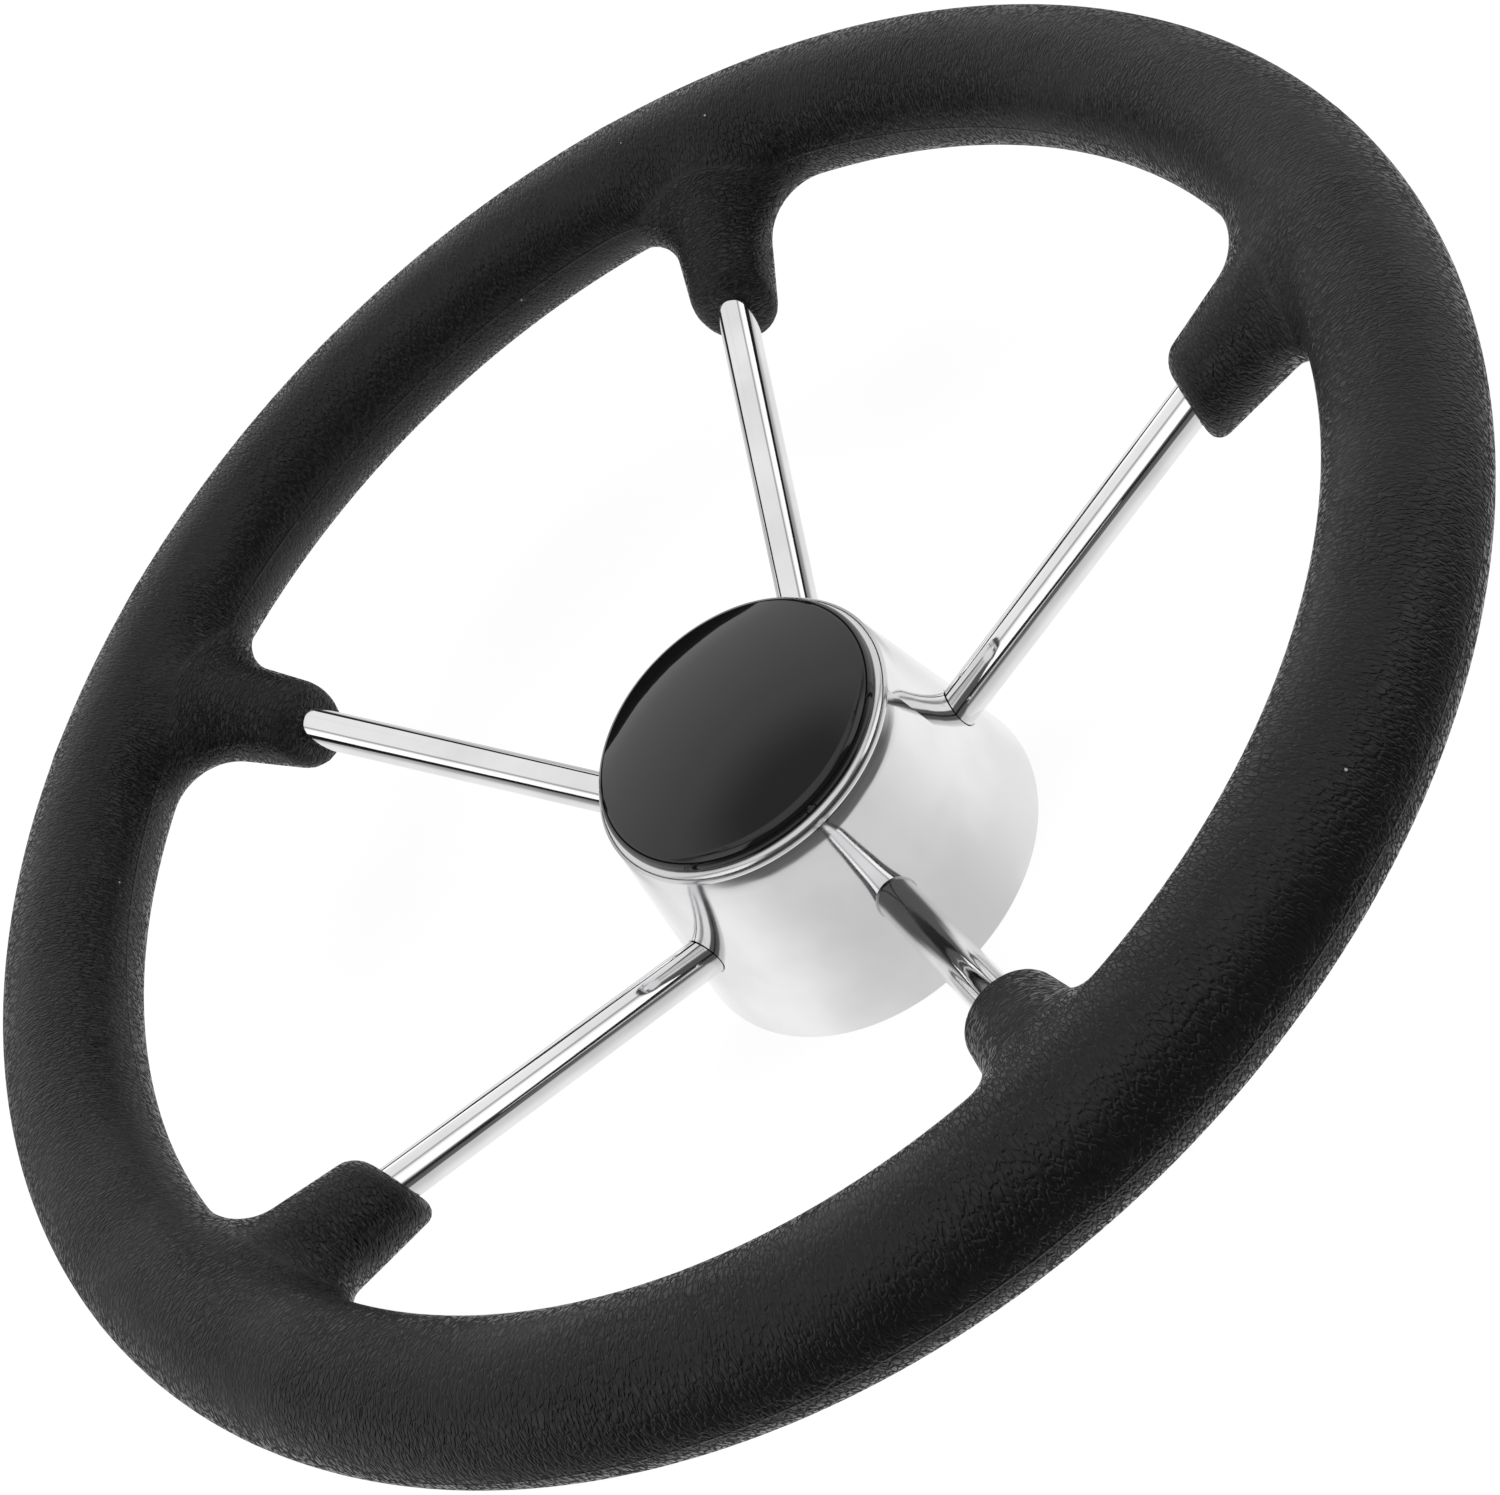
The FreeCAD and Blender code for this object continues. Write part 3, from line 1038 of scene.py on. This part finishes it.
    def skin(self) -> bpy.types.Mesh:
        """One even mesh on the grip's skin.

        Returns:
            The mesh.
        """
        rough = self.rough_form()
        remesh = rough.modifiers.new("merge", "REMESH")
        remesh.mode = "VOXEL"
        remesh.voxel_size = self.mesh_step
        data = self.applied(rough)
        points = np.zeros(len(data.vertices) * 3)
        data.vertices.foreach_get("co", points)
        points = self.settle(points.reshape(-1, 3))
        edges = np.zeros(len(data.edges) * 2, int)
        data.edges.foreach_get("vertices", edges)
        a, b = edges.reshape(-1, 2).T
        count = np.bincount(np.concatenate((a, b)), minlength=len(points))[:, None]
        for _ in range(self.smooth_rounds):
            total = np.zeros_like(points)
            np.add.at(total, a, points[b])
            np.add.at(total, b, points[a])
            points = self.settle(points + 0.5 * (total / count - points))
        data.vertices.foreach_set("co", points.ravel())
        data.update()
        return data

    def bore_cutter(self) -> bpy.types.Object:
        """Round bars where the spokes enter the sleeves.

        Returns:
            The object that holds them all.
        """
        mesh = bmesh.new()
        inner = self.end_radius - self.sizes.grip_radius
        outer = self.sizes.rim_radius - self.sizes.grip_radius / 2
        ends = tuple(Vector((radius, 0, self.sizes.spoke_height(radius))) for radius in (inner, outer))
        reach = self.sizes.rod_radius + self.bore_gap
        self.add_bars(mesh, ends, (reach, reach), self.bore_steps)
        return finished("bores", mesh)

    def build(self) -> bpy.types.Object:
        """Make the grip and put it in the plain solid's place.

        Returns:
            The piece.
        """
        made = put_in_scene("grip_skin_form", self.skin())
        cutter = self.bore_cutter()
        bore = made.modifiers.new("bores", "BOOLEAN")
        bore.operation = "DIFFERENCE"
        bore.solver = "EXACT"
        bore.object = cutter
        data = self.applied(made)
        bpy.data.objects.remove(cutter)
        data.name = "foam_grip_skin"
        data.shade_smooth()
        data.set_sharp_from_angle(angle=self.sharp_angle)
        grip = put_in_scene("foam_grip_skin", data)
        dress(grip, self.finish, self.sizes)
        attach(grip, BODY)
        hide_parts("foam_grip")
        return grip


@dataclass
class SpokeSet:
    """The five polished rods and the steel ring that they are welded to."""

    sizes: WheelSizes
    rod_finish: MirrorRod = field(default_factory=MirrorRod)
    ring_finish: TurnedSteel = field(default_factory=lambda: TurnedSteel(name="mill bar", roughness=0.35))

    def build(self) -> None:
        """Dress the rods and the ring."""
        for number in range(1, SPOKE_COUNT + 1):
            dress(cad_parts[f"spoke_{number}"], self.rod_finish, self.sizes)
        dress(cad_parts["rim_ring"], self.ring_finish, self.sizes)


@dataclass
class HubAssembly:
    """The spun shell, the turned boss and the shaft nut."""

    sizes: WheelSizes
    shell_finish: SpunShell = field(default_factory=SpunShell)
    boss_finish: TurnedSteel = field(default_factory=TurnedSteel)
    nut_finish: TurnedSteel = field(default_factory=lambda: TurnedSteel(name="nut steel", roughness=0.22))

    def build(self) -> None:
        """Dress the three pieces."""
        dress(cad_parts["hub_shell"], self.shell_finish, self.sizes)
        dress(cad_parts["hub_boss"], self.boss_finish, self.sizes)
        dress(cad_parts["shaft_nut"], self.nut_finish, self.sizes)


@dataclass
class CentreCap:
    """The gloss dome over the shaft nut."""

    sizes: WheelSizes
    finish: GlossCap = field(default_factory=GlossCap)

    def build(self) -> None:
        """Dress the cap."""
        dress(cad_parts["centre_cap"], self.finish, self.sizes)


@dataclass
class PhotoCamera:
    """A camera at the photograph's place, turned about its own axis as there."""

    sizes: WheelSizes
    azimuth: float = math.radians(-53.81)
    elevation: float = math.radians(39.41)
    distance: float = 0.58522
    aim_x: float = 0.02072
    aim_y: float = -0.02822
    roll: float = math.radians(44.67)
    lens_mm: float = 69.366
    sensor_mm: float = 36.0

    @property
    def place(self) -> Vector:
        """Where the camera is."""
        flat = math.cos(self.elevation) * self.distance
        rise = math.sin(self.elevation) * self.distance
        x, y = flat * math.cos(self.azimuth), flat * math.sin(self.azimuth)
        return Vector((x, y, self.sizes.rim_height + rise))

    def build(self) -> bpy.types.Object:
        """Make it the scene's camera.

        Returns:
            The camera.
        """
        data = bpy.data.cameras.new("photo_camera")
        data.lens = self.lens_mm
        data.sensor_width = self.sensor_mm
        data.clip_start = 0.01
        data.clip_end = 50
        camera = put_in_scene("photo_camera", data)
        ahead = (Vector((self.aim_x, self.aim_y, self.sizes.rim_height)) - self.place).normalized()
        level_right = ahead.cross(UP).normalized()
        level_up = level_right.cross(ahead)
        up = math.cos(self.roll) * level_up + math.sin(self.roll) * level_right
        right = ahead.cross(up)
        turn = Matrix((right, up, -ahead)).transposed()
        camera.matrix_world = Matrix.Translation(self.place) @ turn.to_4x4()
        bpy.context.scene.camera = camera
        return camera


@dataclass(frozen=True)
class SkyPatch:
    """A lighter or darker place in the studio, by turn from the camera's side and by height.

    Each span says, in degrees, where the patch starts to rise and is up, and, if it ends, where it
    starts to fall and is down. Gain is what it adds to the level.
    """

    turns: tuple[float, ...]
    heights: tuple[float, ...]
    gain: float


class StudioSky(Effect):
    """How bright the studio is in each direction, as polished metal mirrors it.

    White all round, with a dark gap behind the camera, two side panels that end in dark seams,
    and a floor that gets darker towards the camera.
    """

    title = "studio sky"
    takes = (("Direction", "Vector", (0, 0, 1)), ("Camera Turn", "Float", 0.0))
    gives = (("Level", "Float"),)
    wall_level = 0.95
    least_level = 0.04
    gap_heights = (-12, 5, 45, 52)
    patches = (
        SkyPatch((30, 44, 95, 112), (47, 51, 54, 59), -0.5),
        SkyPatch((46, 54, 80, 92), (14, 19, 42, 47), 0.35),
        SkyPatch((90, 98, 102, 111), (20, 32, 56, 66), -0.5),
        SkyPatch((135, 155), (8, 18, 38, 46), 0.05),
        SkyPatch((118, 155), (48, 68, 76, 84), -0.6),
        SkyPatch((115, 150), (-42, -27, 0, 13), -0.4),
        SkyPatch((150, 162), (-28, -12, 10, 22), 0.45),
    )

    @classmethod
    def band(cls, board: Board, angle: bpy.types.NodeSocket, *degrees: float) -> bpy.types.NodeSocket:
        """One past an angle or between two, with soft ends.

        Args:
            board: The group's tree.
            angle: The angle's socket, in degrees.
            *degrees: Where it starts to rise, is up and, if it ends, starts to fall and is down.

        Returns:
            The band's socket.
        """
        rise = board.fade(angle, *degrees[:2])
        if len(degrees) == 2:
            return rise
        return board.math("MULTIPLY", rise, board.fade(angle, *degrees[2:], 1.0, 0.0))

    @classmethod
    def lay_out(cls, board: Board, given: bpy.types.NodeOutputs) -> dict[str, bpy.types.NodeSocket]:
        """Lay out bands by the turn from the camera's side and by the height over the horizon."""
        x, y, z = board.split(given["Direction"])
        turn = board.turn_from(x, y, given["Camera Turn"])
        height = board.math("DEGREES", board.math("ARCSINE", z))
        far_out, near_in = board.fade(height, -80, -20, 0.0, 0.29), board.fade(height, -20, -5, 0.0, 0.55)
        depth = board.math("ADD", far_out, near_in)
        narrow, wide = board.fade(turn, 20, 100, 1.0, 0.0), board.fade(turn, 58, 100, 1.0, 0.0)
        spread = board.blend(board.fade(height, -30, -10), narrow, wide)
        low = board.math("MULTIPLY", spread, board.fade(height, 12, 17, 1.0, 0.0))
        gap_turns = board.fade(turn, 46, 53, 1.0, 0.0)
        gap = board.math("MULTIPLY", gap_turns, cls.band(board, height, *cls.gap_heights))
        dark = board.math("MULTIPLY", board.math("MAXIMUM", low, gap), depth)
        level = board.math("SUBTRACT", cls.wall_level, dark)
        for patch in cls.patches:
            across, up = cls.band(board, turn, *patch.turns), cls.band(board, height, *patch.heights)
            level = board.math("MULTIPLY_ADD", board.math("MULTIPLY", across, up), patch.gain, level)
        return {"Level": board.math("MAXIMUM", level, cls.least_level)}


@dataclass(frozen=True)
class SoftLamp:
    """A soft square lamp that faces the wheel: its place from the camera's side, size and power."""

    name: str
    turn: float
    elevation: float
    side: float
    watts: float
    distance: float = 1.5


@dataclass
class Studio:
    """White surroundings as above, a pale floor that keeps the shadow, a painted floor shade that only reflections
    see, and soft lamps.
    """

    camera: PhotoCamera
    floor_side: float = 9.0
    floor_drop: float = 0.0003
    floor_colour: Colour = (0.80, 0.80, 0.80)
    floor_glow_share: float = 0.85
    floor_glow: float = 1.06
    ambient: float = 0.62
    shade_gap: float = 0.03
    shade_edge: float = 0.05
    shade_reach: float = 0.55
    shade_tail: float = 0.15
    shade_drop: float = 0.004
    shade_level: float = 0.13
    shade_turns: tuple[float, float] = (40.0, 92.0)
    shade_half_turn: int = 120
    shade_step: int = 5
    lamps: tuple[SoftLamp, ...] = (
        SoftLamp("left_panel", turn=-64, elevation=32, side=1.0, watts=9.5),
        SoftLamp("right_panel", turn=64, elevation=32, side=1.0, watts=7),
        SoftLamp("top_panel", turn=180, elevation=80, side=1.2, watts=12),
    )

    def build_world(self) -> None:
        """White for the camera, the panels for reflections, a softer level for plain light."""
        world = bpy.data.worlds.new("studio_world")
        bpy.context.scene.world = world
        world.use_nodes = True
        world.node_tree.nodes.clear()
        board = Board(world.node_tree)
        direction = board.node("TexCoord").outputs["Generated"]
        sky = StudioSky.place(board, **{"Direction": direction, "Camera Turn": self.camera.azimuth})
        path = board.node("LightPath")
        ambient = board.math("MULTIPLY", sky["Level"], self.ambient)
        unlit = board.blend(path.outputs["Is Glossy Ray"], ambient, sky["Level"])
        white = board.math("MAXIMUM", path.outputs["Is Camera Ray"], path.outputs["Is Transmission Ray"])
        surround = board.node("Background")
        surround.inputs["Color"].default_value = (1, 1, 1, 1)
        board.feed(surround.inputs["Strength"], board.blend(white, unlit, 1.0))
        target = board.node("OutputWorld")
        board.feed(target.inputs["Surface"], surround.outputs[0])

    def stage_material(self, name: str) -> tuple[bpy.types.Material, Board]:
        """Start an empty material for the stage.

        Args:
            name: Its name.

        Returns:
            The material and its tree.
        """
        made = bpy.data.materials.new(name)
        made.use_nodes = True
        made.node_tree.nodes.clear()
        return made, Board(made.node_tree)

    def mix_with_glow(self, board: Board, share: Wired, plain: bpy.types.Node, level: float) -> None:
        """Finish a stage material as a plain shader mixed with a white glow.

        Args:
            board: The material's tree.
            share: How much of the glow.
            plain: The plain shader.
            level: The glow's level.
        """
        glow = board.node("Emission")
        glow.inputs["Color"].default_value = (1, 1, 1, 1)
        glow.inputs["Strength"].default_value = level
        mix = board.node("MixShader")
        board.feed(mix.inputs[0], share)
        board.feed(mix.inputs[1], plain.outputs[0])
        board.feed(mix.inputs[2], glow.outputs[0])
        target = board.node("OutputMaterial")
        board.feed(target.inputs["Surface"], mix.outputs[0])

    def build_floor(self) -> None:
        """A pale floor that keeps the wheel's soft shadow."""
        half = self.floor_side / 2
        mesh = bmesh.new()
        corners = ((-half, -half), (half, -half), (half, half), (-half, half))
        mesh.faces.new([mesh.verts.new((x, y, -self.floor_drop)) for x, y in corners])
        floor = finished("floor", mesh)
        floor.visible_glossy = False
        material, board = self.stage_material("pale floor")
        matt = board.node("BsdfDiffuse")
        matt.inputs["Color"].default_value = (*self.floor_colour, 1)
        seen = board.node("LightPath").outputs["Is Camera Ray"]
        share = board.math("MULTIPLY", seen, self.floor_glow_share)
        self.mix_with_glow(board, share, matt, self.floor_glow)
        floor.data.materials.append(material)

    def build_floor_shade(self) -> None:
        """A painted floor shade: a dim sheet under the floor on the camera's side of the wheel, which only reflections
        see, in place of a darker floor there.
        """
        rim = self.camera.sizes.rim_radius
        mesh = bmesh.new()
        turns = range(-self.shade_half_turn, self.shade_half_turn + 1, self.shade_step)
        bearings = [self.camera.azimuth + math.radians(turn) for turn in turns]
        inner, outer = (
            [mesh.verts.new((radius * math.cos(b), radius * math.sin(b), -self.shade_drop)) for b in bearings]
            for radius in (rim + self.shade_gap, rim + self.shade_reach)
        )
        for k in range(len(bearings) - 1):
            mesh.faces.new((inner[k], outer[k], outer[k + 1], inner[k + 1]))
        shade = finished("painted_floor_shade", mesh)
        shade.visible_camera = False
        shade.visible_diffuse = False
        shade.visible_shadow = False
        material, board = self.stage_material("painted floor shade")
        x, y, _ = board.split(board.node("TexCoord").outputs["Object"])
        turn = board.turn_from(x, y, self.camera.azimuth)
        out = board.math("SUBTRACT", board.distance(x, y), rim)
        shaded = board.fade(turn, *self.shade_turns, 1.0, 0.0)
        near = board.fade(out, self.shade_gap, self.shade_gap + self.shade_edge)
        far = board.fade(out, self.shade_reach - self.shade_tail, self.shade_reach, 1.0, 0.0)
        shaded = board.math("MULTIPLY", board.math("MULTIPLY", shaded, near), far)
        # Painted shade: a dim glow that reflections show where the floor on the camera's side would be darker.
        self.mix_with_glow(board, shaded, board.node("BsdfTransparent"), self.shade_level)
        shade.data.materials.append(material)

    def build_lamp(self, soft: SoftLamp) -> None:
        """Hang a lamp that the metal doesn't mirror.

        Args:
            soft: The lamp's place, size and power.
        """
        data = bpy.data.lights.new(soft.name, "AREA")
        data.shape = "SQUARE"
        data.size = soft.side
        data.energy = soft.watts
        a, e = self.camera.azimuth + math.radians(soft.turn), math.radians(soft.elevation)
        out = Vector((math.cos(e) * math.cos(a), math.cos(e) * math.sin(a), math.sin(e)))
        lamp = put_in_scene(soft.name, data)
        lamp.location = Vector((0, 0, self.camera.sizes.rim_height)) + out * soft.distance
        lamp.rotation_mode = "QUATERNION"
        lamp.rotation_quaternion = out.to_track_quat("Z", "Y")
        lamp.visible_glossy = False

    def build(self) -> None:
        """Set up everything round the wheel."""
        self.build_world()
        self.build_floor()
        self.build_floor_shade()
        for soft in self.lamps:
            self.build_lamp(soft)


def main() -> None:
    """Build the wheel's sub-assemblies, the camera and the studio, and report each piece."""
    logging.basicConfig(level=logging.INFO, format="%(message)s", stream=sys.stdout)
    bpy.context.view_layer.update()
    sizes = WheelSizes.measured()
    camera = PhotoCamera(sizes)
    camera.build()
    GripMoulding(sizes).build()
    SpokeSet(sizes).build()
    HubAssembly(sizes).build()
    CentreCap(sizes).build()
    Studio(camera).build()
    bpy.context.scene.view_settings.view_transform = "Standard"


if __name__ == "__main__":
    main()
